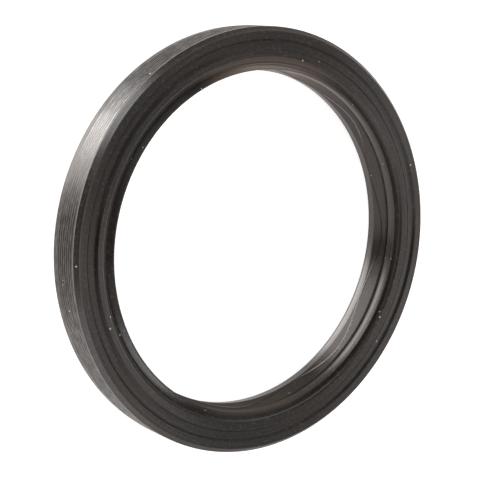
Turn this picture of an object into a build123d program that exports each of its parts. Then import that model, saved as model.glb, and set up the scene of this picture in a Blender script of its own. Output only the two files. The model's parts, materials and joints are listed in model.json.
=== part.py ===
from build123d import *
import os
from math import cos, exp, floor, radians, tan

# Radial shaft seal, 80 x 100 x 10 mm. A rubber body is moulded round a pressed
# steel case, and a garter spring sits in the groove of its main lip.
#
# The seal lies on its oil-side rim. z = 0 is that rim, and +Z is the axis of
# the seal and points to the air side. Each section is drawn with X as the
# distance from the axis and Y as the height, and is then turned round Z.
# Sizes are in millimetres.

# ---- Size of the seal ----
SHAFT_DIAMETER = 80.0
SECTION_HEIGHT = 10.0
WIDTH = 10.0

# ---- Outside: chamfer, ribbed seat and lead-in taper ----
CHAMFER_RUN = 1.0
CHAMFER_DEPTH = 1.15
CHAMFER_ROUND = 0.15
LEAD_IN_LENGTH = 2.0
LEAD_IN_DROP = 0.3
RIM_ROUND = 0.4
RIB_PITCH = 0.9
GROOVE_WIDTH = 0.44
GROOVE_DEPTH = 0.2
FIRST_GROOVE = 0.85
LAST_LAND = 0.5

# ---- Air-side face: outer ring, shallow channel, sloping inner ring and ledge ----
FACE_RING_WIDTH = 1.8
CHANNEL_DEPTH = 0.6
CHANNEL_WALL_RUN = 0.55
CHANNEL_FLOOR_WIDTH = 1.6
CHANNEL_EDGE_ROUND = 0.15
CHANNEL_SHOULDER_ROUND = 0.35
CHANNEL_OUTER_FOOT_ROUND = 0.3
CHANNEL_INNER_FOOT_ROUND = 1.2
INNER_RING_FALL = 0.27
INNER_RING_STANDOFF = 2.95
INNER_RING_ROUND = 0.15
STEP_STANDOFF = 2.55
STEP_DEPTH = 0.64
LEDGE_STANDOFF = 2.22
LEDGE_DEPTH = 0.72
LEDGE_ROUND = 0.15

# ---- Dust lip: radii out from the shaft, depths below the face ----
VALLEY_STANDOFF = 1.56
VALLEY_DEPTH = 1.21
VALLEY_ROUND = 0.15
NOSE_STANDOFF = 0.36
NOSE_DEPTH = 0.25
NOSE_ROUND = 0.1
DUST_LIP_CLEARANCE = 0.13
DUST_LIP_DEPTH = 1.1
HEEL_STANDOFF = 0.22
HEEL_DEPTH = 2.5
RECESS_STANDOFF = 1.55
RECESS_DEPTH = 2.8
RECESS_HEIGHT = 0.65
RECESS_ROUND = 0.25
CONE_TOP_DEPTH = 3.95

# ---- Main lip: heights above the oil-side rim ----
LIP_INTERFERENCE = 0.3
LIP_EDGE_HEIGHT = 2.8
LIP_EDGE_LAND = 0.25
AIR_SIDE_ANGLE = 20.0
LIP_END_HEIGHT = 0.5
LIP_END_WIDTH = 1.2
LIP_END_ROUND = 0.1
OIL_SIDE_FLARE = 0.3
HOOK_HEIGHT = 1.5
NECK_THICKNESS = 1.25
NECK_START = 1.3
NECK_ROUND = 0.8

# ---- Wave rib on the air-side cone of the main lip ----
WAVE_COUNT = 8
WAVE_START = 0.23
WAVE_SWING = 0.92
WAVE_ANGLE = 2.2
WAVE_BASE = 0.5
WAVE_TOP = 0.2
WAVE_HEIGHT = 0.18
WAVE_ROOT = 0.12
POINTS_PER_WAVE = 8

# ---- Garter spring and its groove ----
SPRING_DIAMETER = 1.8
SPRING_STANDOFF = 2.0
SPRING_OFFSET = 0.25
SPRING_FIT = 0.05

# ---- Steel case and the rubber that wraps it ----
STEEL_THICKNESS = 1.2
SLEEVE_THICKNESS = 1.45
FACE_SKIN = 0.8
BEND_RADIUS = 0.5
CASE_REAR_COVER = 0.9
FLANGE_STANDOFF = 3.6
WALL_WRAP = 0.4
WALL_WRAP_HEIGHT = 1.1
FLANGE_WRAP = 0.45
FLANGE_WRAP_WIDTH = 1.9

# ---- Radii and heights that follow from the sizes above ----
shaft_r = SHAFT_DIAMETER / 2
seat_r = shaft_r + SECTION_HEIGHT
seat_top_z = WIDTH - CHAMFER_DEPTH
face_r = seat_r - CHAMFER_RUN
channel_outer_r = face_r - FACE_RING_WIDTH
channel_inner_r = channel_outer_r - 2 * CHANNEL_WALL_RUN - CHANNEL_FLOOR_WIDTH
channel_z = WIDTH - CHANNEL_DEPTH
lip_r = shaft_r - LIP_INTERFERENCE
cone_slope = tan(radians(AIR_SIDE_ANGLE))
spring_r = lip_r + SPRING_STANDOFF
spring_z = LIP_EDGE_HEIGHT - LIP_EDGE_LAND / 2 + SPRING_OFFSET
case_outer_r = seat_r - SLEEVE_THICKNESS
case_inner_r = case_outer_r - STEEL_THICKNESS
flange_r = shaft_r + FLANGE_STANDOFF
flange_top_z = channel_z - FACE_SKIN
flange_bottom_z = flange_top_z - STEEL_THICKNESS
skin_z = flange_bottom_z - FLANGE_WRAP


def cone_radius(z):
    """Radius of the main lip's air-side cone at height z."""
    return lip_r + (z - LIP_EDGE_HEIGHT) * cone_slope


def neck_radius(z):
    """Radius of the back of the lip's neck, which is parallel to the cone."""
    return cone_radius(z) + NECK_THICKNESS / cos(radians(AIR_SIDE_ANGLE))


def outside_points():
    """Outside, from the oil-side rim up to the face, with the rib grooves."""
    points = [(seat_r - LEAD_IN_DROP, 0), (seat_r, LEAD_IN_LENGTH)]
    room = seat_top_z - LEAD_IN_LENGTH - FIRST_GROOVE - LAST_LAND
    for index in reversed(range(1 + floor(room / RIB_PITCH))):
        z = seat_top_z - FIRST_GROOVE - index * RIB_PITCH
        points += [
            (seat_r, z - GROOVE_WIDTH / 2),
            (seat_r - GROOVE_DEPTH, z),
            (seat_r, z + GROOVE_WIDTH / 2),
        ]
    return points + [(seat_r, seat_top_z), (face_r, WIDTH)]


def face_points():
    """Air-side face, from the outer ring in to the ledge below the inner ring."""
    return [
        (channel_outer_r, WIDTH),
        (channel_outer_r - CHANNEL_WALL_RUN, channel_z),
        (channel_inner_r + CHANNEL_WALL_RUN, channel_z),
        (channel_inner_r, WIDTH),
        (shaft_r + INNER_RING_STANDOFF, WIDTH - INNER_RING_FALL),
        (shaft_r + STEP_STANDOFF, WIDTH - STEP_DEPTH),
        (shaft_r + LEDGE_STANDOFF, WIDTH - LEDGE_DEPTH),
    ]


def dust_lip_points():
    """Valley inside the ledge, the dust lip, and the recess between the lips."""
    recess_r = shaft_r + RECESS_STANDOFF
    recess_z = WIDTH - RECESS_DEPTH
    cone_top_z = WIDTH - CONE_TOP_DEPTH
    return [
        (shaft_r + VALLEY_STANDOFF, WIDTH - VALLEY_DEPTH),
        (shaft_r + NOSE_STANDOFF, WIDTH - NOSE_DEPTH),
        (shaft_r + DUST_LIP_CLEARANCE, WIDTH - DUST_LIP_DEPTH),
        (shaft_r + HEEL_STANDOFF, WIDTH - HEEL_DEPTH),
        (recess_r, recess_z),
        (recess_r, recess_z - RECESS_HEIGHT),
        (cone_radius(cone_top_z), cone_top_z),
    ]


def main_lip_points():
    """Sealing edge, oil-side facet, lip end, and the hook below the spring."""
    end_r = lip_r + OIL_SIDE_FLARE
    return [
        (lip_r, LIP_EDGE_HEIGHT),
        (lip_r, LIP_EDGE_HEIGHT - LIP_EDGE_LAND),
        (end_r, LIP_END_HEIGHT),
        (end_r + LIP_END_WIDTH, LIP_END_HEIGHT),
        (spring_r + SPRING_DIAMETER / 2, LIP_END_HEIGHT + HOOK_HEIGHT),
    ]


def oil_side_points():
    """Back of the neck, skin under the flange, and the wrapped edge of the case.

    Where the steel is bare the line runs inside the steel. Cutting the case
    out of the rubber then leaves the two face to face.
    """
    neck_start_z = spring_z + NECK_START
    skin_r = flange_r + FLANGE_WRAP_WIDTH
    steel_r = case_inner_r + STEEL_THICKNESS / 2
    steel_z = flange_bottom_z + STEEL_THICKNESS / 2
    return [
        (neck_radius(neck_start_z), neck_start_z),
        (neck_radius(skin_z), skin_z),
        (skin_r - FLANGE_WRAP, skin_z),
        (skin_r, flange_bottom_z),
        (skin_r, steel_z),
        (steel_r, steel_z),
        (steel_r, WALL_WRAP_HEIGHT + WALL_WRAP),
        (case_inner_r, WALL_WRAP_HEIGHT + WALL_WRAP),
        (case_inner_r - WALL_WRAP, WALL_WRAP_HEIGHT),
        (case_inner_r - WALL_WRAP, 0),
    ]


def rounded(section, point, radius):
    """Section with the corner at point rounded to radius."""
    corners = section.vertices().sort_by_distance((point[0], point[1], 0))
    return fillet(corners[0], radius)


def case_section():
    """L-shaped section of the pressed steel case."""
    outline = Polyline(
        (case_outer_r, CASE_REAR_COVER),
        (case_outer_r, flange_top_z),
        (flange_r, flange_top_z),
        (flange_r, flange_bottom_z),
        (case_inner_r, flange_bottom_z),
        (case_inner_r, CASE_REAR_COVER),
        close=True,
    )
    section = make_face(outline)
    section = rounded(section, (case_inner_r, flange_bottom_z), BEND_RADIUS)
    return rounded(section, (case_outer_r, flange_top_z), BEND_RADIUS + STEEL_THICKNESS)


def rubber_section():
    """Section of the rubber, less the steel and the groove for the spring."""
    outside, face, dust_lip = outside_points(), face_points(), dust_lip_points()
    main_lip, oil_side = main_lip_points(), oil_side_points()
    section = make_face(Polyline(
        *outside, *face, *dust_lip, *main_lip, *oil_side, close=True
    ))
    for point, radius in (
        (outside[0], RIM_ROUND),
        (outside[-2], CHAMFER_ROUND),
        (outside[-1], CHAMFER_ROUND),
        (face[0], CHANNEL_EDGE_ROUND),
        (face[1], CHANNEL_OUTER_FOOT_ROUND),
        (face[2], CHANNEL_INNER_FOOT_ROUND),
        (face[3], CHANNEL_SHOULDER_ROUND),
        (face[4], INNER_RING_ROUND),
        (face[6], LEDGE_ROUND),
        (dust_lip[0], VALLEY_ROUND),
        (dust_lip[1], NOSE_ROUND),
        (dust_lip[4], RECESS_ROUND),
        (dust_lip[5], RECESS_ROUND),
        (main_lip[2], LIP_END_ROUND),
        (oil_side[1], NECK_ROUND),
        (oil_side[-1], RIM_ROUND / 2),
    ):
        section = rounded(section, point, radius)
    groove = Pos(spring_r, spring_z) * Circle(SPRING_DIAMETER / 2 + SPRING_FIT)
    return section - groove - case_section()


def wave_lift(z):
    """Height of the rib above the cone at height z.

    It runs out towards the sealing edge and stays less than the cone's own
    distance from the radius of that edge, so that a shaft meets the edge first.
    """
    room = cone_radius(z) - lip_r
    return WAVE_HEIGHT * (1 - exp(-room / WAVE_HEIGHT))


def wave_curve(height_offset, at_root):
    """Closed wave along one edge of the rib, at its root or at its top."""
    count = WAVE_COUNT * POINTS_PER_WAVE
    middle_z = LIP_EDGE_HEIGHT + WAVE_START + WAVE_SWING + height_offset
    points = []
    for index in range(count):
        angle = 360 * index / count
        z = middle_z + WAVE_SWING * cos(radians(WAVE_COUNT * (angle - WAVE_ANGLE)))
        lift = -WAVE_ROOT if at_root else wave_lift(z)
        points.append(Vector(cone_radius(z) - lift, 0, z).rotate(Axis.Z, angle))
    return Edge.make_spline(points, periodic=True)


def wave_rib():
    """Low rib that runs round the cone as a wave, with its root in the lip."""
    curves = [
        wave_curve(-WAVE_BASE / 2, at_root=True),
        wave_curve(-WAVE_TOP / 2, at_root=False),
        wave_curve(WAVE_TOP / 2, at_root=False),
        wave_curve(WAVE_BASE / 2, at_root=True),
    ]
    sides = zip(curves, curves[1:] + curves[:1])
    faces = [Face.make_surface_from_curves(first, second) for first, second in sides]
    return Solid(Shell(faces))


def rubber_body():
    """Rubber body, as a sector with one wave of the rib, repeated round Z."""
    turn = 360 / WAVE_COUNT
    wedge = Cylinder(seat_r, WIDTH, arc_size=turn, align=Align.NONE)
    sector = revolve(Plane.XZ * rubber_section(), Axis.Z, turn) + (wave_rib() & wedge)
    return Part() + [Rotation(0, 0, turn * index) * sector for index in range(WAVE_COUNT)]


def steel_case():
    """Pressed steel case that stiffens the rubber."""
    return revolve(Plane.XZ * case_section(), Axis.Z, 360)


def garter_spring():
    """Ring that the turns of the closed coil spring lie in."""
    return Pos(0, 0, spring_z) * Torus(spring_r, SPRING_DIAMETER / 2)


os.makedirs("parts", exist_ok=True)
export_step(rubber_body(), "parts/rubber_body.step")
export_step(steel_case(), "parts/steel_case.step")
export_step(garter_spring(), "parts/garter_spring.step")
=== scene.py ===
import json
from math import atan2, ceil, cos, floor, pi, radians, sin, tan

import bpy
import numpy as np
from bpy.props import FloatProperty, FloatVectorProperty, IntProperty, PointerProperty
from bpy.types import Operator, Panel, PropertyGroup
from mathutils import Matrix, Vector


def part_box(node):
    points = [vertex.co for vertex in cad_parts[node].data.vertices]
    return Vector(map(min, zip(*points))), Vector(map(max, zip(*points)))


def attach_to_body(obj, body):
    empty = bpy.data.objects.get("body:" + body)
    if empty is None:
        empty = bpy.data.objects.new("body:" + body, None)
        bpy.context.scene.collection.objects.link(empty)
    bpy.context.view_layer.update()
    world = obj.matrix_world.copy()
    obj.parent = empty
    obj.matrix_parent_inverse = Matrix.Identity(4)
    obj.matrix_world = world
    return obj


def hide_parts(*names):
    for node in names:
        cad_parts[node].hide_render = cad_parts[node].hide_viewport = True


bl_info = {
    "name": "Radial Shaft Seal",
    "version": (1, 0, 0),
    "blender": (4, 5, 0),
    "location": "View3D > Sidebar > Shaft Seal",
    "description": "Builds a rubber shaft seal with its steel case and garter spring",
    "category": "Object",
}

# A section is drawn as (distance from the axis, height above the oil-side rim)
# and turned round Z. All lengths are in metres.

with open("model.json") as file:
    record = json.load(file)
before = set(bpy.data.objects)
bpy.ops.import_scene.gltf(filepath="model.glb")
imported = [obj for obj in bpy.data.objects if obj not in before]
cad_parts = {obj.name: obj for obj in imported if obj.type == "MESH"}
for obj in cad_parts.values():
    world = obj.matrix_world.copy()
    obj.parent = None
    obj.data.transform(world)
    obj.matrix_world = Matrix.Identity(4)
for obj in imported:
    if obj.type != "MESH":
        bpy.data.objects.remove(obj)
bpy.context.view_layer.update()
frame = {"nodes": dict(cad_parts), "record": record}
MM = 0.001
MOUNTS = {mount["name"]: mount["dims"] for mount in frame["record"]["mounts"]}
SHAFT = 40.0 * MM
SPRING_CENTRE = sum(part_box("garter_spring"), Vector()).z / 2 / MM
CASE_LOW, CASE_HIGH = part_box("steel_case")


# ---- settings. register() names each one after its attribute.

def mm(description, millimetres):
    """Setting for one size, given in millimetres and kept in metres."""
    return FloatProperty(
        description=description, default=millimetres * MM, unit="LENGTH", precision=5
    )


def share(description, value, largest=1.0):
    """Setting for one plain number from 0 up."""
    return FloatProperty(description=description, default=value, min=0, max=largest)


def angle(description, degrees):
    """Setting for one angle, given in degrees and kept in radians."""
    return FloatProperty(description=description, default=radians(degrees), unit="ROTATION")


def colour(description, value):
    """Setting for one linear colour."""
    return FloatVectorProperty(
        description=description, default=value, size=3, min=0, max=1, subtype="COLOR"
    )


class OutsideSizes(PropertyGroup):
    """Chamfer, ribbed seat and lead-in taper."""

    seat_radius: mm("Radius over the ribs", MOUNTS["housing_seat"]["r_mm"])
    width: mm("Height of the seal along its axis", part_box("rubber_body")[1].z / MM)
    chamfer_run: mm("Chamfer's width seen along the axis", 1.0)
    chamfer_depth: mm("Chamfer's height", 1.15)
    chamfer_round: mm("Round at both edges of the chamfer", 0.15)
    lead_in_length: mm("Height of the lead-in taper", 2.0)
    lead_in_drop: mm("How far the taper falls in at the rim", 0.15)
    rim_round: mm("Round at the foot of the lead-in taper", 0.25)
    rib_pitch: mm("Height from one groove to the next", 0.9)
    groove_width: mm("Width of a groove at its mouth", 0.44)
    groove_depth: mm("Depth of a groove", 0.2)
    groove_round: mm("Round at the mouth and foot of a groove", 0.05)
    first_groove: mm("From the chamfer to the first groove", 0.85)
    last_land: mm("Least plain height above the taper", 0.5)


class FaceSizes(PropertyGroup):
    """Outer ring, shallow channel, sloping inner ring and ledge of the air-side face."""

    ring_width: mm("Flat ring between chamfer and channel", 1.8)
    channel_depth: mm("Depth of the channel", 0.6)
    wall_run: mm("Width of a channel wall seen along the axis", 0.55)
    floor_width: mm("Flat floor of the channel", 1.6)
    edge_round: mm("Round at the channel's outer edge", 0.1)
    shoulder_round: mm("Round at the channel's inner edge", 0.35)
    outer_foot_round: mm("Round outside the channel's floor", 0.2)
    inner_foot_round: mm("Round inside the channel's floor", 1.2)
    inner_fall: mm("How far the inner ring slopes down", 0.27)
    inner_standoff: mm("From the shaft to the inner ring", 2.95)
    inner_round: mm("Round inside the inner ring", 0.15)
    step_standoff: mm("Foot of the step, from the shaft", 2.55)
    step_depth: mm("Foot of the step, below the face", 0.64)
    step_round: mm("Round at the foot of the step", 0.1)
    ledge_standoff: mm("Inner edge of the ledge, from the shaft", 2.22)
    ledge_depth: mm("Inner edge of the ledge, below the face", 0.72)
    ledge_round: mm("Round at the inner edge of the ledge", 0.15)


class DustLipSizes(PropertyGroup):
    """Dust lip: distances out from the shaft and depths below the face."""

    valley_standoff: mm("Foot of the valley, from the shaft", 1.56)
    valley_depth: mm("Foot of the valley, below the face", 1.21)
    valley_round: mm("Round at the foot of the valley", 0.15)
    nose_standoff: mm("Top edge before rounding, from the shaft", 0.2)
    nose_depth: mm("Top edge before rounding, below the face", 0.15)
    nose_round: mm("Round at the top edge of the lip", 0.2)
    land_round: mm("Round along the narrowest part of the lip", 4.0)
    clearance: mm("Narrowest part of the lip, from the shaft", 0.13)
    depth: mm("Narrowest part of the lip, below the face", 1.1)
    heel_standoff: mm("Lower edge of the lip, from the shaft", 0.22)
    heel_depth: mm("Lower edge of the lip, below the face", 2.5)
    heel_round: mm("Round at the lower edge of the lip", 0.08)
    recess_standoff: mm("Back of the recess, from the shaft", 1.55)
    recess_depth: mm("Roof of the recess, below the face", 2.8)
    recess_height: mm("Height of the back of the recess", 0.65)
    recess_round: mm("Round at the back of the recess", 0.25)
    cone_top_depth: mm("Top of the main lip's cone, below the face", 3.95)


class MainLipSizes(PropertyGroup):
    """Main lip: sealing edge, cone, lip end, spring hook and neck."""

    edge_radius: mm("Radius of the sealing edge", MOUNTS["shaft_bore"]["r_mm"])
    edge_height: mm("Sealing edge above the rim", 2.8)
    edge_land: mm("Height of the sealing edge's land", 0.25)
    edge_round: mm("Round at the sealing edge", 0.03)
    cone_angle: angle("Slope of the air-side cone to the axis", 20)
    end_height: mm("Foot of the lip above the rim", 0.27)
    end_width: mm("Width of the lip's foot", 1.2)
    end_round: mm("Round at the inner edge of the foot", 0.25)
    flare: mm("How far the oil side opens out to the foot", 0.3)
    hook_height: mm("Tip of the hook above the foot", 1.73)
    hook_round: mm("Round at the tip of the hook", 0.06)
    neck_thickness: mm("Thickness of the lip's neck", 1.25)
    neck_start: mm("Start of the neck above the spring's centre", 1.3)
    neck_round: mm("Round between the neck and the flange", 0.8)


class WaveRibSizes(PropertyGroup):
    """Low rib that runs round the cone as a wave."""

    count: IntProperty(description="Waves round the cone", default=8, min=1)
    start: mm("Lowest place of the rib's middle above the edge", 0.23)
    swing: mm("Half of the wave's height", 0.92)
    turn: angle("Angle of the first crest", 2.2)
    base: mm("Width of the rib with its root", 0.5)
    top: mm("Width of the rib's flat top", 0.2)
    height: mm("Height of the rib above the cone", 0.18)
    root: mm("Depth of the root in the lip", 0.12)


class SpringSizes(PropertyGroup):
    """Closed coil spring and the groove that holds it."""

    radius: mm("Middle of the coil, from the axis", MOUNTS["shaft_bore"]["r_mm"] + 2.0)
    height: mm("Coil's middle above the rim", SPRING_CENTRE)
    diameter: mm("Diameter over the coil", 1.8)
    fit: mm("Gap between the coil and its groove", 0.05)
    wire: mm("Diameter of the wire", 0.36)
    turns: IntProperty(description="Turns of wire", default=700, min=50)


class CaseSizes(PropertyGroup):
    """Steel case inside the rubber and the rubber that wraps its edges."""

    outer_radius: mm("Outside of the case's wall", CASE_HIGH.x / MM)
    bottom: mm("Lower edge of the case's wall", CASE_LOW.z / MM)
    top: mm("Upper face of the flange", CASE_HIGH.z / MM)
    thickness: mm("Thickness of the sheet", 1.2)
    bend: mm("Inside radius of the bend", 0.5)
    flange_standoff: mm("From the shaft to the flange", 3.6)
    wall_wrap: mm("Rubber inside the wall", 0.4)
    wall_wrap_height: mm("Height of the rubber inside the wall", 1.1)
    flange_wrap: mm("Rubber under the flange", 0.45)
    flange_wrap_width: mm("Width of the rubber under the flange", 1.9)


class RubberFinish(PropertyGroup):
    """Colours of the moulded rubber, with painted shade and painted highlights among them."""

    base: colour("Fresh moulded rubber", (0.0108, 0.0090, 0.0084))
    bloom: colour("Brownish bloom in cloudy patches", (0.021, 0.0160, 0.0136))
    # Lighter rubber for rubbed edges and fine marks; also the painted highlight on the inner
    # ring's crest and the ledge line.
    worn: colour("Edges rubbed by handling", (0.06, 0.055, 0.05))
    film: colour("Brown film of old grease", (0.042, 0.034, 0.030))
    # Knife-scraped rubber; also the painted highlight on one side of the seat, on the rib's crest
    # and on the trimmed facet.
    scuffed: colour("Rubber scraped light by a knife", (0.26, 0.245, 0.235))
    fresh: colour("Cleaner rubber on one side of the face", (0.0085, 0.0082, 0.008))
    brown: colour("Thick brown bloom on one side of the lips", (0.085, 0.066, 0.055))
    # Painted shade: near-black colour laid in corners, recesses and on darker sides.
    grime: colour("Dark grime in the inner corners", (0.003, 0.0026, 0.0024))
    # Fine dust and lint; also laid as a painted highlight on the lips' land, the rib and the
    # trimmed facet.
    dust: colour("Fine dust and lint", (0.42, 0.40, 0.38))


class SteelFinish(PropertyGroup):
    """Colours of the steel case and the spring."""

    case: colour("Phosphated sheet", (0.14, 0.14, 0.135))
    case_light: colour("Sheet rubbed bright by the tool", (0.30, 0.30, 0.29))
    wire: colour("Drawn spring wire", (0.42, 0.41, 0.39))
    oil: colour("Old oil between the turns", (0.10, 0.085, 0.06))


class StageSettings(PropertyGroup):
    """Camera, floor and surroundings."""

    camera_azimuth: angle("Where the camera stands round the axis", 168.3)
    camera_elevation: angle("Camera's height as an angle", 52.9915)
    camera_roll: angle("Turn of the camera about its own axis", 104.5385)
    camera_distance: mm("From the camera to its target", 315.174)
    target: FloatVectorProperty(
        description="Point that the camera looks at", unit="LENGTH", precision=5,
        default=(-6.31 * MM, 0.6925 * MM, 8.6556 * MM),
    )
    focal_length: FloatProperty(description="Lens, in mm", default=102.7)
    floor_radius: mm("Radius of the round floor", 4000)
    floor_white: share("Colour of the floor", 0.8)
    floor_lift: share("Light that the camera sees on the floor", 0.65)
    wall_white: share("Brightness of the low wall all round", 1.0)
    ceiling_dim: share("Brightness of the ceiling behind the camera", 0.08)
    ceiling_bright: share("Brightness of the far ceiling", 1.35, 2.0)
    ceiling_tint: colour("Warm white of the wall and ceiling", (1.0, 0.93, 0.89))


class ShaftSeal(PropertyGroup):
    """All sizes, colours and stage settings of the seal."""

    outside: PointerProperty(type=OutsideSizes)
    face: PointerProperty(type=FaceSizes)
    dust_lip: PointerProperty(type=DustLipSizes)
    main_lip: PointerProperty(type=MainLipSizes)
    wave: PointerProperty(type=WaveRibSizes)
    spring: PointerProperty(type=SpringSizes)
    case: PointerProperty(type=CaseSizes)
    rubber: PointerProperty(type=RubberFinish)
    steel: PointerProperty(type=SteelFinish)
    stage: PointerProperty(type=StageSettings)


# ---- section

COARSE_STEP, FINE_STEP, BROAD_ROUND = radians(30), radians(15), 0.9 * MM
SPRING_GROOVE_STEPS = 16
FACE, SEAT, LIP, TRIMMED, OIL_SIDE = range(5)


def cone_radius(seal, z):
    """Radius of the main lip's air-side cone at height z."""
    lip = seal.main_lip
    return lip.edge_radius + (z - lip.edge_height) * tan(lip.cone_angle)


def neck_radius(seal, z):
    """Radius of the back of the neck, parallel to the cone, at height z."""
    lip = seal.main_lip
    return cone_radius(seal, z) + lip.neck_thickness / cos(lip.cone_angle)


def groove_heights(seal):
    """Heights of the rib grooves, from the lowest up."""
    size = seal.outside
    top = size.width - size.chamfer_depth
    room = top - size.lead_in_length - size.first_groove - size.last_land
    steps = range(floor(room / size.rib_pitch), -1, -1)
    return [top - size.first_groove - step * size.rib_pitch for step in steps]


def outside_corners(seal):
    """Outside, from the oil-side rim up to the face: (radius, height, round)."""
    size, seat = seal.outside, seal.outside.seat_radius
    half, soft = size.groove_width / 2, size.groove_round
    corners = [(seat - size.lead_in_drop, 0, size.rim_round), (seat, size.lead_in_length, soft)]
    for z in groove_heights(seal):
        corners += [(seat, z - half, soft), (seat - size.groove_depth, z, soft)]
        corners.append((seat, z + half, soft))
    return corners


def face_corners(seal):
    """Chamfer and air-side face, from the top of the seat in to the ledge."""
    size, outside, width = seal.face, seal.outside, seal.outside.width
    outer = outside.seat_radius - outside.chamfer_run
    channel = outer - size.ring_width
    inner = channel - 2 * size.wall_run - size.floor_width
    floor_z = width - size.channel_depth
    return [
        (outside.seat_radius, width - outside.chamfer_depth, outside.chamfer_round),
        (outer, width, outside.chamfer_round),
        (channel, width, size.edge_round),
        (channel - size.wall_run, floor_z, size.outer_foot_round),
        (inner + size.wall_run, floor_z, size.inner_foot_round),
        (inner, width, size.shoulder_round),
        (SHAFT + size.inner_standoff, width - size.inner_fall, size.inner_round),
        (SHAFT + size.step_standoff, width - size.step_depth, size.step_round),
        (SHAFT + size.ledge_standoff, width - size.ledge_depth, size.ledge_round),
    ]


def dust_lip_corners(seal):
    """Valley, dust lip and the recess between the lips."""
    size, width = seal.dust_lip, seal.outside.width
    recess_z = width - size.recess_depth
    back = SHAFT + size.recess_standoff
    cone_top = width - size.cone_top_depth
    return [
        (SHAFT + size.valley_standoff, width - size.valley_depth, size.valley_round),
        (SHAFT + size.nose_standoff, width - size.nose_depth, size.nose_round),
        (SHAFT + size.clearance, width - size.depth, size.land_round),
        (SHAFT + size.heel_standoff, width - size.heel_depth, size.heel_round),
        (back, recess_z, size.recess_round),
        (back, recess_z - size.recess_height, size.recess_round),
        (cone_radius(seal, cone_top), cone_top, size.heel_round),
    ]


def lip_end_corners(seal):
    """Foot of the main lip and the hook below the spring."""
    lip, spring = seal.main_lip, seal.spring
    end = lip.edge_radius + lip.flare
    hook = spring.radius + spring.diameter / 2
    return [
        (end, lip.end_height, lip.end_round),
        (end + lip.end_width, lip.end_height, lip.hook_round),
        (hook, lip.end_height + lip.hook_height, lip.hook_round),
    ]


def spring_groove(seal):
    """Round groove cut into the line from the hook to the start of the neck."""
    lip, spring = seal.main_lip, seal.spring
    reach = spring.diameter / 2 + spring.fit
    centre = Vector((spring.radius, spring.height))
    start_z = spring.height + lip.neck_start
    hook = Vector((spring.radius + spring.diameter / 2, lip.end_height + lip.hook_height))
    neck = Vector((neck_radius(seal, start_z), start_z))
    along = (neck - hook).normalized()
    middle = hook + along * along.dot(centre - hook)
    half_chord = along * (reach**2 - (centre - middle).length ** 2) ** 0.5
    low, high = middle - half_chord - centre, middle + half_chord - centre
    first = atan2(low.y, low.x)
    last = atan2(high.y, high.x) - 2 * pi
    step = (last - first) / SPRING_GROOVE_STEPS
    turns = [first + step * count for count in range(SPRING_GROOVE_STEPS + 1)]
    arc = [(centre.x + reach * cos(turn), centre.y + reach * sin(turn), 0) for turn in turns]
    return arc + [(neck.x, neck.y, 0)]


def oil_side_corners(seal):
    """Neck, rubber round the flange's edge, and the faces against the case."""
    case = seal.case
    flange_bottom = case.top - case.thickness
    skin = flange_bottom - case.flange_wrap
    flange = SHAFT + case.flange_standoff
    skin_end = flange + case.flange_wrap_width
    inner_wall = case.outer_radius - case.thickness
    wrap_top = case.wall_wrap_height + case.wall_wrap
    return [
        (neck_radius(seal, skin), skin, seal.main_lip.neck_round),
        (skin_end - case.flange_wrap, skin, 0),
        (skin_end, flange_bottom, 0),
        (flange, flange_bottom, 0),
        (flange, case.top, 0),
        (case.outer_radius, case.top, case.bend + case.thickness),
        (case.outer_radius, case.bottom, 0),
        (inner_wall, case.bottom, 0),
        (inner_wall, wrap_top, 0),
        (inner_wall - case.wall_wrap, case.wall_wrap_height, 0),
        (inner_wall - case.wall_wrap, 0, seal.outside.rim_round / 2),
    ]


def rounded(before, corner, after):
    """Points of the arc that rounds one corner between its neighbours."""
    at, radius = Vector(corner[:2]), corner[2]
    if not radius:
        return [at]
    back = (Vector(before[:2]) - at).normalized()
    forth = (Vector(after[:2]) - at).normalized()
    half = back.angle(forth) / 2
    centre = at + (back + forth).normalized() * radius / sin(half)
    start = (at + back * radius / tan(half) - centre).normalized()
    end = (at + forth * radius / tan(half) - centre).normalized()
    steps = 2 + ceil((pi - 2 * half) / (FINE_STEP if radius > BROAD_ROUND else COARSE_STEP))
    return [centre + start.slerp(end, step / steps) * radius for step in range(steps + 1)]


def body_section(seal):
    """Fixed part of the rubber's section, and the zone that each point starts."""
    lip = seal.main_lip
    edge_heights = lip.edge_height, lip.edge_height - lip.edge_land
    stretches = [
        ([(lip.edge_radius, z, lip.edge_round) for z in edge_heights], TRIMMED),
        (lip_end_corners(seal) + spring_groove(seal) + oil_side_corners(seal), OIL_SIDE),
        (outside_corners(seal), SEAT),
        (face_corners(seal), FACE),
        (dust_lip_corners(seal), LIP),
    ]
    line = [(corner, zone) for stretch, zone in stretches for corner in stretch]
    points, zones = [], []
    for index, (corner, zone) in enumerate(line):
        arc = rounded(line[index - 1][0], corner, line[(index + 1) % len(line)][0])
        points += arc
        zones += [zone] * len(arc)
    return points, zones


# ---- meshes

SEGMENTS_PER_WAVE = 40
ROWS_ABOVE_RIB, ROWS_BELOW_RIB, RIB_ROWS = 7, 6, 17
WIRE_SIDES, STEPS_PER_TURN = 6, 12


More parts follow.
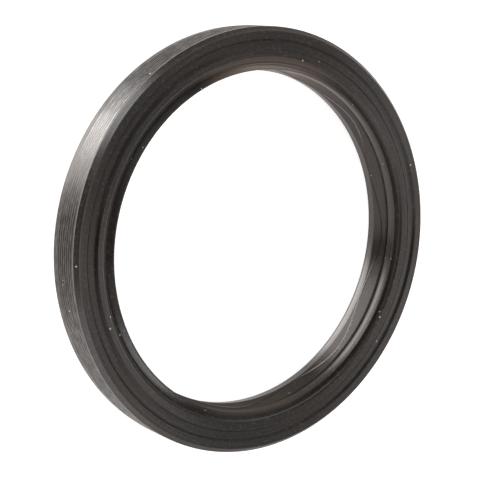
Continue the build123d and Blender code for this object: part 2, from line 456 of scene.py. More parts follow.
def cone_rows(seal, angles):
    """Rows of the cone from its top to the sealing edge, which follow the rib."""
    lip, wave, width = seal.main_lip, seal.wave, seal.outside.width
    top = width - seal.dust_lip.cone_top_depth - seal.dust_lip.heel_round
    least = lip.edge_height + 2 * lip.edge_round
    middle = lip.edge_height + wave.start + wave.swing
    middle = middle + wave.swing * np.cos(wave.count * (angles - wave.turn))
    rib_top, rib_foot = middle + wave.base / 2, middle - wave.base / 2
    heights = [
        top + (rib_top - top) * step / ROWS_ABOVE_RIB for step in range(1, ROWS_ABOVE_RIB)
    ]
    heights += [rib_top - wave.base * step / (RIB_ROWS - 1) for step in range(RIB_ROWS)]
    heights += [
        rib_foot + (least - rib_foot) * step / ROWS_BELOW_RIB for step in range(1, ROWS_BELOW_RIB)
    ]
    lowest = least + lip.edge_round / 4 * np.arange(len(heights), 0, -1)
    heights = np.maximum(heights, lowest[:, None])
    cone = cone_radius(seal, heights)
    flank = (wave.base - wave.top) / 2 * wave.height / (wave.height + wave.root)
    reach = wave.top / 2 + flank
    rise = np.clip((reach - np.abs(heights - middle)) / flank, 0, 1)
    rise = rise * rise * (3 - 2 * rise)  # rounds the flanks
    fade = 1 - np.exp(-(cone - lip.edge_radius) / wave.height)  # keeps the sealing edge round
    return cone - wave.height * fade * rise, heights


def add_to_scene(name, data):
    """New object in the scene."""
    item = bpy.data.objects.new(name, data)
    bpy.context.scene.collection.objects.link(item)
    return item


def mesh_object(name, points, faces, normals=None):
    """Mesh object from arrays, shaded smooth, with its own normals if given."""
    mesh = bpy.data.meshes.new(name)
    mesh.from_pydata(points.tolist(), [], faces.tolist())
    mesh.shade_smooth()
    if normals is not None:
        mesh.normals_split_custom_set_from_vertices(normals.tolist())
    return add_to_scene(name, mesh)


def wrapped_quads(rows, columns):
    """Quads of a grid that closes on itself both ways, facing outwards."""
    here = np.arange(rows * columns).reshape(rows, columns)
    beside, above = np.roll(here, -1, axis=1), np.roll(here, -1, axis=0)
    corners = here, beside, np.roll(above, -1, axis=1), above
    return np.stack(corners, axis=2).reshape(-1, 4)


def area_normals(points, faces):
    """Normals of the points, weighted by the areas of the faces round them."""
    corner = points[faces]
    cross = np.cross(corner[:, 2] - corner[:, 0], corner[:, 3] - corner[:, 1])
    normals = np.zeros_like(points)
    for place in range(4):
        np.add.at(normals, faces[:, place], cross)
    return normals / np.linalg.norm(normals, axis=1, keepdims=True)


def rubber_mesh(seal):
    """The rubber body as one closed mesh."""
    columns = seal.wave.count * SEGMENTS_PER_WAVE
    angles = np.arange(columns) * 2 * pi / columns
    section, zones = body_section(seal)
    cone_radii, cone_heights = cone_rows(seal, angles)
    fixed = np.array([tuple(point) for point in section])[:, :, None].repeat(columns, axis=2)
    radii = np.vstack([fixed[:, 0], cone_radii])
    heights = np.vstack([fixed[:, 1], cone_heights])
    zones = zones + [LIP] * len(cone_radii)
    points = np.stack([radii * np.cos(angles), radii * np.sin(angles), heights], axis=2)
    points = points.reshape(-1, 3)
    faces = wrapped_quads(len(radii), columns)
    piece = mesh_object("rubber_seal_body", points, faces, area_normals(points, faces))
    piece.data.polygons.foreach_set("material_index", np.repeat(zones, columns))
    return piece


def spring_mesh(seal):
    """The garter spring as one closed coil of wire."""
    size = seal.spring
    steps = size.turns * STEPS_PER_TURN
    turn = np.arange(steps) * 2 * pi * size.turns / steps
    around = turn / size.turns
    outward = np.stack([np.cos(around), np.sin(around), np.zeros(steps)], axis=1)
    upward = np.array([0, 0, 1])
    side = outward * np.cos(turn)[:, None] + upward * np.sin(turn)[:, None]
    coil = (size.diameter - size.wire) / 2
    line = outward * size.radius + upward * size.height + side * coil
    ahead = np.roll(line, -1, axis=0) - np.roll(line, 1, axis=0)
    ahead /= np.linalg.norm(ahead, axis=1, keepdims=True)
    across = np.cross(ahead, side)
    turned = 2 * pi * np.arange(WIRE_SIDES)[:, None, None] / WIRE_SIDES
    points = line + (side * np.cos(turned) + across * np.sin(turned)) * size.wire / 2
    faces = wrapped_quads(WIRE_SIDES, steps)
    return mesh_object("garter_spring_coil", points.reshape(-1, 3), faces)


# ---- node helpers

class Output:
    """Output of a node. Arithmetic on it adds Math nodes, and | takes the larger."""

    def __init__(self, tree, socket):
        self.tree, self.socket = tree, socket

    def __add__(self, other):
        return calc("ADD", self, other)

    def __sub__(self, other):
        return calc("SUBTRACT", self, other)

    def __rsub__(self, other):
        return calc("SUBTRACT", other, self)

    def __mul__(self, other):
        return calc("MULTIPLY", self, other)

    def __or__(self, other):
        return calc("MAXIMUM", self, other)


class Outputs:
    """Outputs of one node, found by name or place."""

    def __init__(self, tree, sockets):
        self.tree, self.sockets = tree, sockets

    def __getitem__(self, key):
        return Output(self.tree, self.sockets[key])


def attach(value, socket):
    """Feeds an input from an output, or sets it to a plain value."""
    if isinstance(value, Output):
        value.tree.links.new(value.socket, socket)
    else:
        socket.default_value = value


def put(tree, kind, inputs=None, **settings):
    """Outputs of one new shader node with its settings and inputs."""
    node = tree.nodes.new("ShaderNode" + kind)
    for name, value in settings.items():
        setattr(node, name, value)
    for name, value in (inputs or {}).items():
        attach(value, node.inputs[name])
    return Outputs(tree, node.outputs)


def tree_of(*values):
    """Tree of the first output among some values."""
    return next(value.tree for value in values if isinstance(value, Output))


def calc(operation, *values):
    """Result of a Math node."""
    inputs = dict(enumerate(values))
    return put(tree_of(*values), "Math", inputs, operation=operation)[0]


def ramp(value, low, high, to_low=0.0, to_high=1.0):
    """Result of a smooth Map Range node, held within its limits."""
    inputs = dict(enumerate((value, low, high, to_low, to_high)))
    return put(value.tree, "MapRange", inputs, interpolation_type="SMOOTHSTEP")[0]


def noise(vector, scale, detail=2.0, **w):
    """Value of a Noise node, in four dimensions where W is given."""
    inputs = {"Vector": vector, "Scale": scale, "Detail": detail, **w}
    kind = "4D" if w else "3D"
    return put(vector.tree, "TexNoise", inputs, noise_dimensions=kind)["Fac"]


def layered(finish, base, *layers):
    """Colour built up from a base by (mask, colour) layers; a finish holds the colours."""
    shade = (*getattr(finish, base), 1.0)
    for mask, layer in layers:
        inputs = {"Factor": mask, 6: shade, 7: (*getattr(finish, layer), 1.0)}
        shade = put(tree_of(mask, shade), "Mix", inputs, data_type="RGBA")[2]
    return shade


def relief(height, strength, distance):
    """Normal that shows a fine relief."""
    inputs = {"Height": height, "Strength": strength, "Distance": distance}
    return put(height.tree, "Bump", inputs)[0]


def spaced(inputs):
    """Inputs with spaces for the underscores in their names."""
    return {name.replace("_", " "): value for name, value in inputs.items()}


def new_group(name, outputs, **inputs):
    """Empty node group with number inputs: (tree, its inputs, its outputs)."""
    tree = bpy.data.node_groups.new(name, "ShaderNodeTree")
    for label, value in spaced(inputs).items():
        socket = tree.interface.new_socket(label, in_out="INPUT", socket_type="NodeSocketFloat")
        socket.default_value = value
    for label in outputs:
        kind = "NodeSocketVector" if label == "Circle" else "NodeSocketFloat"
        tree.interface.new_socket(label, in_out="OUTPUT", socket_type=kind)
    given = Outputs(tree, tree.nodes.new("NodeGroupInput").outputs)
    return tree, given, tree.nodes.new("NodeGroupOutput").inputs


def ring_place(tree):
    """Outputs of the group that says where a point is round the ring."""
    return put(tree, "Group", node_tree=bpy.data.node_groups["Ring place"])


def use(tree, group, **inputs):
    """Output of another node group placed in tree."""
    group = bpy.data.node_groups[group]
    return put(tree, "Group", spaced(inputs), node_tree=group)[0]


# ---- node groups

HATCH_SWAY, JUST_BELOW_ONE = 30, 0.99999


def ring_place_group():
    """Distance from the axis, height, angle and place on a unit circle."""
    tree, _, result = new_group("Ring place", ("Radius", "Height", "Angle", "Circle"))
    x, y, z = put(tree, "SeparateXYZ", {0: put(tree, "TexCoord")["Object"]})
    turn = calc("ARCTAN2", y, x)
    circle = {"X": calc("COSINE", turn), "Y": calc("SINE", turn)}
    attach(calc("SQRT", x * x + y * y), result["Radius"])
    attach(z, result["Height"])
    attach(turn, result["Angle"])
    attach(put(tree, "CombineXYZ", circle)[0], result["Circle"])


def turned_lines_group():
    """Fine lines that run round the axis, as a turned mould leaves them."""
    tree, given, result = new_group("Turned lines", ["Value"], Fineness=6000, Length=3)
    place = ring_place(tree)
    scaling = {0: place["Circle"], "Scale": given["Length"]}
    stretched = put(tree, "VectorMath", scaling, operation="SCALE")[0]
    x, y, _ = put(tree, "SeparateXYZ", {0: stretched})
    across = {"X": x, "Y": y, "Z": place["Radius"] * given["Fineness"]}
    vector = put(tree, "CombineXYZ", across)[0]
    attach(noise(vector, 1, 3, W=place["Height"] * given["Fineness"]), result["Value"])


def slanted_hatch_group():
    """Short slanted lines left by a knife or a wheel, in broken patches."""
    tree, given, result = new_group(
        "Slanted hatch", ["Mask"], Count=700, Slant=9000, Patches=5, Cover=0.5
    )
    place = ring_place(tree)
    phase = place["Angle"] * given["Count"] + place["Height"] * given["Slant"]
    phase += noise(place["Circle"], 40) * HATCH_SWAY
    lines = ramp(calc("SINE", phase), 0.2, 1)
    patches = noise(place["Circle"], given["Patches"], 3, W=place["Height"])
    attach(lines * ramp(patches, 1 - given["Cover"], 0.8), result["Mask"])


def patch_group():
    """Uneven patch on one side of the seal."""
    tree, given, result = new_group(
        "Patch", ["Mask"], Middle=0, Half_width=0.4, Softness=0.2, Unevenness=0.15
    )
    turned = ring_place(tree)["Angle"] - given["Middle"]
    away = calc("ARCCOSINE", calc("COSINE", turned) * JUST_BELOW_ONE)
    uneven = noise(put(tree, "TexCoord")["Object"], 160, 3)
    inside = given["Half width"] - (away + (uneven - 0.5) * given["Unevenness"])
    attach(ramp(inside, 0, given["Softness"]), result["Mask"])


def wave_line_group():
    """Crest of the wave rib on the cone."""
    tree, given, result = new_group(
        "Wave line", ["Mask"], Count=8, Turn=0, Middle=0.004, Swing=0.0009, Half_width=0.0001
    )
    place = ring_place(tree)
    wave = calc("COSINE", (place["Angle"] - given["Turn"]) * given["Count"])
    middle = given["Middle"] + wave * given["Swing"]
    share_off = calc("DIVIDE", calc("ABSOLUTE", place["Height"] - middle), given["Half width"])
    attach(ramp(share_off, 1.6, 0.8), result["Mask"])


def clouds_group():
    """Soft patches of uneven bloom."""
    tree, given, result = new_group("Clouds", ["Value"], Scale=60)
    value = noise(put(tree, "TexCoord")["Object"], given["Scale"], 5)
    attach(ramp(value, 0.35, 0.68), result["Value"])


def grain_group():
    """Fine grain of a moulded surface."""
    tree, given, result = new_group("Grain", ["Height"], Scale=5000)
    value = noise(put(tree, "TexCoord")["Object"], given["Scale"], 3)
    attach(value, result["Height"])


def dust_group():
    """Scattered specks of dust, of uneven size."""
    tree, given, result = new_group("Dust", ["Mask"], Scale=500, Share=0.06, Size=0.25)
    place = put(tree, "TexCoord")["Object"]
    cells = put(tree, "TexVoronoi", {"Vector": place, "Scale": given["Scale"]})
    red, green, _ = put(tree, "SeparateColor", {0: cells["Color"]})
    chosen = calc("LESS_THAN", red, given["Share"])
    size = given["Size"] * ramp(green, 0, 1, 0.35, 1)
    attach(ramp(size - cells["Distance"], 0, 0.06) * chosen, result["Mask"])


def worn_edge_group():
    """Mask round one edge of the section, broken up along its length."""
    tree, given, result = new_group(
        "Worn edge", ["Mask"], Edge_radius=0.05, Edge_height=0.01, Width=0.0002
    )
    place = ring_place(tree)
    out, up = place["Radius"] - given["Edge radius"], place["Height"] - given["Edge height"]
    distance = calc("DIVIDE", calc("SQRT", out * out + up * up), given["Width"])
    uneven = noise(place["Circle"], 25, 4, W=0)
    attach(ramp(uneven + 0.6 - distance, 0, 0.5), result["Mask"])


# ---- looks

def edge_mask(tree, radius, height, width):
    """Mask round one edge of the section."""
    return use(tree, "Worn edge", Edge_radius=radius, Edge_height=height, Width=width)


def patch(tree, middle, half_width, softness):
    """Mask on one side of the seal; the angles are in degrees, the softness in radians."""
    middle, half_width = radians(middle), radians(half_width)
    return use(tree, "Patch", Middle=middle, Half_width=half_width, Softness=softness)


def by_side(tree, *patches):
    """Largest of some patches: (middle, half width, softness, strength), in degrees."""
    strength = 0
    for middle, half_width, softness, largest in patches:
        mask = patch(tree, middle, half_width, radians(softness))
        strength = calc("MAXIMUM", strength, mask * largest)
    return strength


def face_rubber(tree, seal):
    """Moulded face: satin, with turned lines, bloom and dust, painted shade in the channel's
    corners and painted highlights on the inner ring's crest and the ledge.
    """
    size, face = seal.outside, seal.face
    clouds = use(tree, "Clouds", Scale=55)
    lines = use(tree, "Turned lines", Fineness=9000, Length=2)
    rings = use(tree, "Turned lines", Fineness=2300, Length=1.2)
    grain = use(tree, "Grain", Scale=4200)
    mottle = use(tree, "Grain", Scale=1500)
    dust = use(tree, "Dust", Scale=650, Share=0.07, Size=0.17)
    radius = ring_place(tree)["Radius"]

    face_edge = size.seat_radius - size.chamfer_run
    outer_foot = face_edge - face.ring_width - face.wall_run
    inner_foot = outer_foot - face.floor_width
    floor_z = size.width - face.channel_depth
    shoulder, step = SHAFT + face.inner_standoff, SHAFT + face.step_standoff
    ledge = SHAFT + (face.ledge_standoff + face.step_standoff) / 2
    ledge_z = size.width - (face.ledge_depth + face.step_depth) / 2

    chamfer = edge_mask(tree, face_edge, size.width, 0.16 * MM)
    corner = edge_mask(tree, size.seat_radius, size.width - size.chamfer_depth, 0.12 * MM)
    # Painted shade: near-black colour at both feet of the channel and on its inner wall, stronger
    # on some sides.
    outer_painted_shade = edge_mask(tree, outer_foot + 0.25 * MM, floor_z + 0.25 * MM, 0.4 * MM)
    outer_painted_shade *= by_side(tree, (-152, 62, 35, 0.55), (-28, 42, 20, 1), (45, 40, 20, 0.55))
    grime = edge_mask(tree, inner_foot - 0.3 * MM, floor_z + 0.3 * MM, 0.42 * MM)
    grime *= by_side(tree, (-152, 62, 35, 0.85), (0, 80, 35, 0.9))
    wall = edge_mask(tree, inner_foot - 0.25 * MM, size.width - 0.2 * MM, 0.45 * MM)
    wall *= by_side(tree, (148, 30, 20, 0.9))
    grime = grime | outer_painted_shade | wall
    # Painted highlight: a light line along the ledge on two sides.
    ledge_line = edge_mask(tree, ledge, ledge_z, 0.22 * MM)
    ledge_line *= by_side(tree, (-72, 34, 20, 0.7), (48, 42, 20, 0.7))
    # Painted highlight along the inner ring's crest, on one side.
    crest = edge_mask(tree, shoulder, size.width - face.inner_fall, 0.2 * MM)
    crest *= by_side(tree, (150, 95, 40, 1))
    brown = ramp(radius, step, shoulder, 1, 0) * by_side(tree, (93, 32, 16, 0.8))
    shade = layered(
        seal.rubber, "base",
        (clouds * 0.55, "bloom"),
        (by_side(tree, (-94, 34, 22, 0.9)), "fresh"),
        (ramp(lines, 0.5, 0.75, 0, 0.2), "worn"),
        (ramp(rings, 0.55, 0.75, 0, 0.35), "worn"),
        (ramp(mottle, 0.5, 0.7, 0, 0.4), "worn"),
        (chamfer * 0.5, "worn"),
        (corner * 0.8, "scuffed"),
        (grime, "grime"),
        (crest, "worn"),
        (brown, "brown"),
        (ledge_line, "worn"),
        (dust, "dust"),
    )

    gloss = by_side(tree, (5, 78, 50, 0.62), (-148, 52, 30, 0.45))
    gloss *= ramp(radius, step, shoulder, 0.2, 1)
    gloss *= ramp(lines + rings, 0.8, 1.15, 0.55, 1.15)
    gloss *= 1 - grime
    on_chamfer = ramp(radius, face_edge - 0.05 * MM, face_edge + 0.05 * MM)
    chamfer_gloss = by_side(tree, (143, 18, 14, 0.33), (-148, 46, 30, 0.75)) * on_chamfer
    dull = (wall | outer_painted_shade * 0.7) * 0.45
    return {
        "Base Color": shade,
        "Roughness": ramp(lines + rings, 0.7, 1.3, 0.26, 0.44) + dull,
        "Specular IOR Level": 0.2,
        "Coat Weight": gloss | chamfer_gloss,
        "Coat Roughness": 0.3,
        "Coat IOR": 1.45,
        "Normal": relief(lines * 0.6 + grain + rings * 1.6, 0.4, 0.04 * MM),
    }


def seat_rubber(tree, seal):
    """Ribbed seat: lighter with bloom, hatched and dusty, with a painted highlight on one side.
    """
    size = seal.outside
    clouds = use(tree, "Clouds", Scale=90)
    hatch = use(tree, "Slanted hatch", Count=520, Slant=6500, Patches=6, Cover=0.62)
    lines = use(tree, "Turned lines", Fineness=7000, Length=9)
    dashes = use(tree, "Turned lines", Fineness=2600, Length=26)
    grain = use(tree, "Grain", Scale=2600)
    mottle = use(tree, "Grain", Scale=1500)
    dust = use(tree, "Dust", Scale=650, Share=0.20, Size=0.17)
    # Painted highlight: the ribs lighter on one side, where the light falls; the coat is glossier
    # there too.
    painted_highlight = patch(tree, 154, 21, 0.32)
    shade = layered(
        seal.rubber, "base",
        (ramp(clouds, 0, 1, 0.3, 1), "bloom"),
        (ramp(lines, 0.5, 0.8, 0, 0.5), "worn"),
        (ramp(mottle, 0.5, 0.7, 0, 0.8), "worn"),
        (hatch * 0.4, "worn"),
        (ramp(dashes, 0.5, 0.62, 0, 0.8), "worn"),
        (painted_highlight * 0.85, "scuffed"),
        (dust, "dust"),
    )

    top_groove = size.width - size.chamfer_depth - size.first_groove
    phase = (ring_place(tree)["Height"] - top_groove) * (2 * pi / size.rib_pitch)
    gloss = painted_highlight | by_side(tree, (-140, 34, 16, 0.42)) | 0.2
    gloss *= ramp(dashes, 0.42, 0.56, 0.5, 1.1) | painted_highlight * 0.85
    gloss *= ramp(calc("COSINE", phase), 0.1, 0.9, 1, 0.45)
    height = lines * 0.8 + grain + hatch * ramp(painted_highlight, 0, 1, 0.6, 0.2)
    return {
        "Base Color": shade,
        "Roughness": ramp(lines + dashes, 0.75, 1.25, 0.52, 0.32),
        "Specular IOR Level": 0.4,
        "Coat Weight": gloss,
        "Coat Roughness": 0.3,
        "Coat IOR": 2,
        "Normal": relief(height, 0.5, 0.06 * MM),
    }


def lip_rubber(tree, seal):
    """Both lips: smoother, with knife marks, painted shade in the valley, the recess and on some
    sides, and painted highlights on a glossier side.
    """
    width, wave, lip, dust_lip = seal.outside.width, seal.wave, seal.main_lip, seal.dust_lip
    clouds = use(tree, "Clouds", Scale=80)
    hatch = use(tree, "Slanted hatch", Count=420, Slant=5200, Patches=4, Cover=0.55)
    lines = use(tree, "Turned lines", Fineness=6000, Length=2.5)
    grain = use(tree, "Grain", Scale=4200)
    mottle = use(tree, "Grain", Scale=1500)
    dust = use(tree, "Dust", Scale=800, Share=0.22, Size=0.15)
    film = patch(tree, 45, 48, 0.1)
    # Side with a glossier coat and painted highlights on the land and the rib.
    painted_sheen_side = patch(tree, -30, 26, radians(15))

    valley_r, valley_z = SHAFT + dust_lip.valley_standoff, width - dust_lip.valley_depth
    recess_r = SHAFT + dust_lip.recess_standoff
    recess_z = width - dust_lip.recess_depth - dust_lip.recess_height / 2
    nose_r, nose_z = SHAFT + dust_lip.nose_standoff, width - dust_lip.nose_depth
    cone_top = width - dust_lip.cone_top_depth

    # Painted shade: near-black colour in the valley and the recess, on the far side.
    grime = edge_mask(tree, valley_r, valley_z, 0.35 * MM)
    grime = (grime | edge_mask(tree, recess_r, recess_z, 0.95 * MM)) * patch(tree, 0, 72, 0.3)
    rib = use(
        tree, "Wave line", Count=wave.count, Turn=wave.turn, Swing=wave.swing,
        Middle=lip.edge_height + wave.start + wave.swing, Half_width=wave.top / 2,
    )
    # Painted highlight along the rib's crest, strongest on some sides.
    painted_highlight = by_side(tree, (57, 26, 15, 0.9), (-35, 30, 15, 1), (175, 110, 20, 0.5))
    nose = edge_mask(tree, nose_r + 0.1 * MM, nose_z - 0.2 * MM, 0.3 * MM)
    land = edge_mask(tree, SHAFT + dust_lip.clearance, width - 1.6 * MM, 0.55 * MM)
    top_edge = edge_mask(tree, cone_radius(seal, cone_top), cone_top, 0.3 * MM)
    # Painted shade: the lips darker on some sides.
    painted_shade_sides = by_side(tree, (140, 42, 20, 0.55), (0, 12, 12, 0.45), (-90, 22, 15, 0.4))
    shade = layered(
        seal.rubber, "base",
        (clouds * 0.6, "bloom"),
        (film * 0.8, "film"),
        (hatch * 0.3, "worn"),
        (ramp(mottle, 0.5, 0.7, 0, 0.35), "worn"),
        (painted_shade_sides, "grime"),
        (rib * painted_highlight, "scuffed"),
        # Painted highlight: land and rib lighter on the glossier side.
        (land * painted_sheen_side * 0.3, "dust"),
        (rib * painted_sheen_side * 0.35, "dust"),
        (nose * 0.35, "worn"),
        (by_side(tree, (93, 30, 16, 0.85), (-88, 26, 16, 0.3)), "brown"),
        (grime, "grime"),
        (dust, "dust"),
    )

    edges = (rib | nose * 0.7 | top_edge) * 0.9
    calm = 1 - edges
    dull = by_side(tree, (-92, 36, 20, 0.4), (140, 42, 20, 0.2)) + edges * 0.4
    gloss = by_side(tree, (52, 54, 8, 0.16), (92, 22, 15, 0.5), (-135, 26, 18, 0.24))
    height = (lines * 0.5 + grain + hatch * 0.12) * calm
    return {
        "Base Color": shade,
        "Roughness": ramp(lines, 0.3, 0.7, 0.26, 0.4) + dull,
        "Specular IOR Level": 0.22,
        "Coat Weight": (gloss | painted_sheen_side) * calm * (1 - grime),
        "Coat Roughness": 0.22,
        "Coat IOR": 2.1,
        "Normal": relief(height, 0.35, 0.04 * MM),
    }


def trimmed_rubber(tree, seal):
    """Sealing edge and the facet that a knife trimmed: lighter rubber with fine hatch, and a
    painted highlight on one side.
    """
    foot = seal.main_lip.end_height
    clouds = use(tree, "Clouds", Scale=120)
    hatch = use(tree, "Slanted hatch", Count=900, Slant=9000, Patches=3, Cover=0.8)
    lines = use(tree, "Turned lines", Fineness=8000, Length=4)
    dust = use(tree, "Dust", Scale=650, Share=0.15, Size=0.17)
    # Painted highlight: the facet lighter on one side, lightest in a band above its foot and
    # darker at the foot; the coat is glossier there.
    painted_sheen_side = patch(tree, -28, 28, 0.4)
    z = ring_place(tree)["Height"]
    band = ramp(z, foot + 0.45 * MM, foot + 0.95 * MM)
    band *= ramp(z, foot + 1.05 * MM, foot + 2 * MM, 1, 0)
    dark_foot = ramp(z, foot + 0.35 * MM, foot + 0.8 * MM, 0.75, 0)
    shade = layered(
        seal.rubber, "base",
        (clouds, "bloom"),
        (0.15, "worn"),
        (painted_sheen_side, "scuffed"),
        (band * painted_sheen_side, "dust"),
        (dark_foot, "base"),
        (calc("MINIMUM", hatch * (painted_sheen_side + 0.1), 1), "scuffed"),
        (dust, "dust"),
    )
    return {
        "Base Color": shade,
        "Roughness": ramp(lines, 0.3, 0.7, 0.25, 0.4),
        "Coat Weight": ramp(painted_sheen_side, 0, 1, 0.1, 1) * (1 - dark_foot),
        "Coat Roughness": 0.2,
        "Coat IOR": 2.2,
        "Normal": relief(lines * 0.5 + hatch, 0.4, 0.05 * MM),
    }


def oil_side_rubber(tree, seal):
    """Oil side: plain moulded rubber with a light grain."""
    clouds = use(tree, "Clouds", Scale=65)
    lines = use(tree, "Turned lines", Fineness=5000, Length=2)
    grain = use(tree, "Grain", Scale=5000)
    return {
        "Base Color": layered(seal.rubber, "base", (clouds, "bloom")),
        "Roughness": ramp(lines, 0.3, 0.7, 0.42, 0.6),
        "Normal": relief(lines * 0.6 + grain, 0.35, 0.04 * MM),
    }


def phosphated_steel(tree, seal):
    """Case: dull grey phosphate, rubbed bright in streaks by the drawing tool."""
    clouds = use(tree, "Clouds", Scale=400)
    lines = use(tree, "Turned lines", Fineness=2500, Length=1.5)
    grain = use(tree, "Grain", Scale=8000)
    layers = (clouds * 0.5, "case_light"), (ramp(lines, 0.55, 0.75), "case_light")
    return {
        "Base Color": layered(seal.steel, "case", *layers),
        "Metallic": 0.85,
        "Roughness": ramp(clouds, 0, 1, 0.62, 0.45),
        "Normal": relief(lines + grain * 0.5, 0.3, 0.03 * MM),
    }


def spring_wire(tree, seal):
    """Spring: drawn wire, with old oil in patches."""
    clouds = use(tree, "Clouds", Scale=250)
    grain = use(tree, "Grain", Scale=9000)
    return {
        "Base Color": layered(seal.steel, "wire", (clouds * 0.6, "oil")),
        "Metallic": 1,
        "Roughness": ramp(clouds, 0, 1, 0.28, 0.5),
        "Normal": relief(grain, 0.2, 0.02 * MM),
    }


def add_materials(piece, seal, *looks):
    """Gives a piece one material for each look, named after the look."""
    for look in looks:
        material = bpy.data.materials.new(look.__name__)
        material.use_nodes = True
        shader = material.node_tree.nodes["Principled BSDF"]
        for name, value in look(material.node_tree, seal).items():
            attach(value, shader.inputs[name])
        piece.data.materials.append(material)


# ---- stage

SENSOR_WIDTH, CLIP_RANGE = 36, (0.01, 20)
FLOOR_SIDES = 96
WALL_TOP, CEILING_CHANGE = (0.14, 0.24), (-0.15, 0.3)
WHITE = (1, 1, 1, 1)


def direction(azimuth, elevation):
    """Unit vector towards an azimuth and elevation."""
    level = cos(elevation)
    return Vector((level * cos(azimuth), level * sin(azimuth), sin(elevation)))


def add_camera(stage):
    """Camera that frames the seal and looks back along a direction, rolled."""
    data = bpy.data.cameras.new("camera")
    data.sensor_width = SENSOR_WIDTH
    data.lens = stage.focal_length
    data.clip_start, data.clip_end = CLIP_RANGE
    back = direction(stage.camera_azimuth, stage.camera_elevation)
    right = direction(stage.camera_azimuth + pi / 2, 0)
    level = Matrix((right, back.cross(right), back)).transposed()
    camera = add_to_scene("camera", data)
    camera.location = Vector(stage.target) + back * stage.camera_distance
    camera.rotation_mode = "QUATERNION"
    roll = Matrix.Rotation(stage.camera_roll, 3, "Z")
    camera.rotation_quaternion = (level @ roll).to_quaternion()
    bpy.context.scene.camera = camera


def add_floor(stage):
    """Round pale floor that keeps the shadow of the seal."""
    sides = range(FLOOR_SIDES)
    points = [direction(2 * pi * side / FLOOR_SIDES, 0) * stage.floor_radius for side in sides]
    mesh = bpy.data.meshes.new("floor")
    mesh.from_pydata(points, [], [tuple(sides)])
    floor_object = add_to_scene("floor", mesh)
    material = bpy.data.materials.new("pale_floor")
    material.use_nodes = True
    tree = material.node_tree
    tree.nodes.clear()
    rays = put(tree, "LightPath")
    mirrored = rays["Is Glossy Ray"] | rays["Is Transmission Ray"]
    seen = rays["Is Camera Ray"] * stage.floor_lift
    grey = (*(stage.floor_white,) * 3, 1)
    matt = put(tree, "BsdfDiffuse", {"Color": grey})[0]
    lift = put(tree, "Emission", {"Strength": seen})[0]
    lit = put(tree, "AddShader", {0: matt, 1: lift})[0]
    warm = (*stage.ceiling_tint, 1)
    plain = put(tree, "Emission", {"Color": warm})[0]
    mixed = put(tree, "MixShader", {0: mirrored, 1: lit, 2: plain})[0]
    put(tree, "OutputMaterial", {"Surface": mixed})
    mesh.materials.append(material)


def add_surroundings(stage):
    """White wall all round under a ceiling that is brighter on the far side."""
    world = bpy.data.worlds.new("surroundings")
    world.use_nodes = True
    tree = world.node_tree
    tree.nodes.clear()
    towards = put(tree, "TexCoord")["Generated"]
    height = put(tree, "SeparateXYZ", {0: towards})["Z"]
    far = direction(stage.camera_azimuth + pi, 0)
    reach = put(tree, "VectorMath", {0: towards, 1: far}, operation="DOT_PRODUCT")
    ceiling = ramp(reach["Value"], *CEILING_CHANGE, stage.ceiling_dim, stage.ceiling_bright)
    wall = ramp(height, *WALL_TOP, 1, 0)
    grey = wall * stage.wall_white + (1 - wall) * ceiling
    warm = (*stage.ceiling_tint, 1)
    light = put(tree, "Background", {"Color": warm, "Strength": grey})[0]
    plain = put(tree, "Background", {"Color": WHITE})[0]
    seen = put(tree, "LightPath")["Is Camera Ray"]
    mixed = put(tree, "MixShader", {0: seen, 1: light, 2: plain})[0]
    put(tree, "OutputWorld", {"Surface": mixed})
    bpy.context.scene.world = world


def add_softbox(name, azimuth, elevation, distance, width, height, radiance):
    """Rectangular lamp that faces the seal, of a given brightness."""
    data = bpy.data.lights.new(name, "AREA")
    data.shape = "RECTANGLE"
    data.size, data.size_y = width, height
    data.energy = radiance * pi * width * height
    lamp = add_to_scene(name, data)
    away = direction(radians(azimuth), radians(elevation))
    lamp.location = away * distance
    lamp.rotation_mode = "QUATERNION"
    lamp.rotation_quaternion = away.to_track_quat("Z", "Y")


# ---- operators

class BuildNodeGroups(Operator):
    """Makes the shader node groups that the materials share."""

    bl_idname = "shaft_seal.node_groups"
    bl_label = "Node groups"

    def execute(self, context):
        ring_place_group()
        turned_lines_group()
        slanted_hatch_group()
        patch_group()
        wave_line_group()
        clouds_group()
        grain_group()
        dust_group()
        worn_edge_group()
        return {"FINISHED"}


class BuildRubberBody(Operator):
    """Makes the rubber body with its ribs, face, dust lip, main lip and wave rib."""

    bl_idname = "shaft_seal.rubber_body"
    bl_label = "Rubber body"

    def execute(self, context):
        seal = context.scene.shaft_seal
        body = rubber_mesh(seal)
        looks = face_rubber, seat_rubber, lip_rubber, trimmed_rubber, oil_side_rubber
        add_materials(body, seal, *looks)
        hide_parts("rubber_body")
        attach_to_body(body, "root")
        return {"FINISHED"}


class BuildGarterSpring(Operator):
    """Makes the garter spring as a coil of wire."""

    bl_idname = "shaft_seal.garter_spring"
    bl_label = "Garter spring"

    def execute(self, context):
        seal = context.scene.shaft_seal
        coil = spring_mesh(seal)
        add_materials(coil, seal, spring_wire)
        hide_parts("garter_spring")
        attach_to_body(coil, "root")
        return {"FINISHED"}


class FinishSteelCase(Operator):
    """Gives the steel case its phosphated surface."""

    bl_idname = "shaft_seal.steel_case"
    bl_label = "Steel case"

    def execute(self, context):
        case = frame["nodes"]["steel_case"]
        case.data.materials.clear()
        add_materials(case, context.scene.shaft_seal, phosphated_steel)
        return {"FINISHED"}


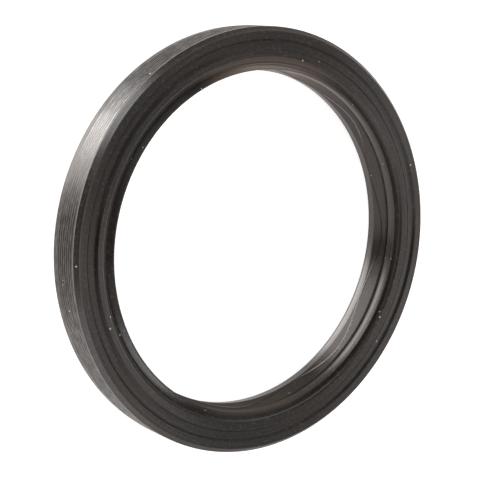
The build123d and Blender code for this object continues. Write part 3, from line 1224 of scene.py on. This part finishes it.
class BuildStage(Operator):
    """Makes the floor, surroundings, lamps and camera."""

    bl_idname = "shaft_seal.stage"
    bl_label = "Stage"

    def execute(self, context):
        stage = context.scene.shaft_seal.stage
        add_camera(stage)
        add_floor(stage)
        add_surroundings(stage)
        add_softbox(
            "key_softbox", azimuth=131, elevation=20, distance=1.2, width=0.70, height=0.55,
            radiance=10.8,
        )
        add_softbox(
            "fill_softbox", azimuth=241, elevation=26, distance=1.2, width=1.25, height=0.8,
            radiance=2.2,
        )
        context.scene.view_settings.view_transform = "Standard"
        return {"FINISHED"}


class ShaftSealPanel(Panel):
    """Buttons and settings for the seal."""

    bl_idname = "VIEW3D_PT_shaft_seal"
    bl_label = "Shaft Seal"
    bl_space_type = "VIEW_3D"
    bl_region_type = "UI"
    bl_category = "Shaft Seal"

    def draw(self, context):
        for step in STEPS:
            self.layout.operator(step.bl_idname)
        seal = context.scene.shaft_seal
        for part in ShaftSeal.__annotations__:
            box = self.layout.box()
            box.label(text=in_words(part))
            group = getattr(seal, part)
            for setting in group.__annotations__:
                box.prop(group, setting)


STEPS = (BuildNodeGroups, BuildRubberBody, BuildGarterSpring, FinishSteelCase, BuildStage)
GROUPS = (
    OutsideSizes, FaceSizes, DustLipSizes, MainLipSizes, WaveRibSizes, SpringSizes,
    CaseSizes, RubberFinish, SteelFinish, StageSettings, ShaftSeal,
)
CLASSES = GROUPS + STEPS + (ShaftSealPanel,)


def in_words(attribute):
    """Name of a setting, from the attribute that holds it."""
    return attribute.replace("_", " ").capitalize()


def register():
    for item in CLASSES:
        for attribute, setting in item.__annotations__.items():
            setting.keywords["name"] = in_words(attribute)
        bpy.utils.register_class(item)
    bpy.types.Scene.shaft_seal = PointerProperty(type=ShaftSeal)


def unregister():
    del bpy.types.Scene.shaft_seal
    for item in reversed(CLASSES):
        bpy.utils.unregister_class(item)


def main():
    register()
    bpy.ops.shaft_seal.node_groups()
    bpy.ops.shaft_seal.rubber_body()
    bpy.ops.shaft_seal.garter_spring()
    bpy.ops.shaft_seal.steel_case()
    bpy.ops.shaft_seal.stage()


if __name__ == "__main__":
    main()
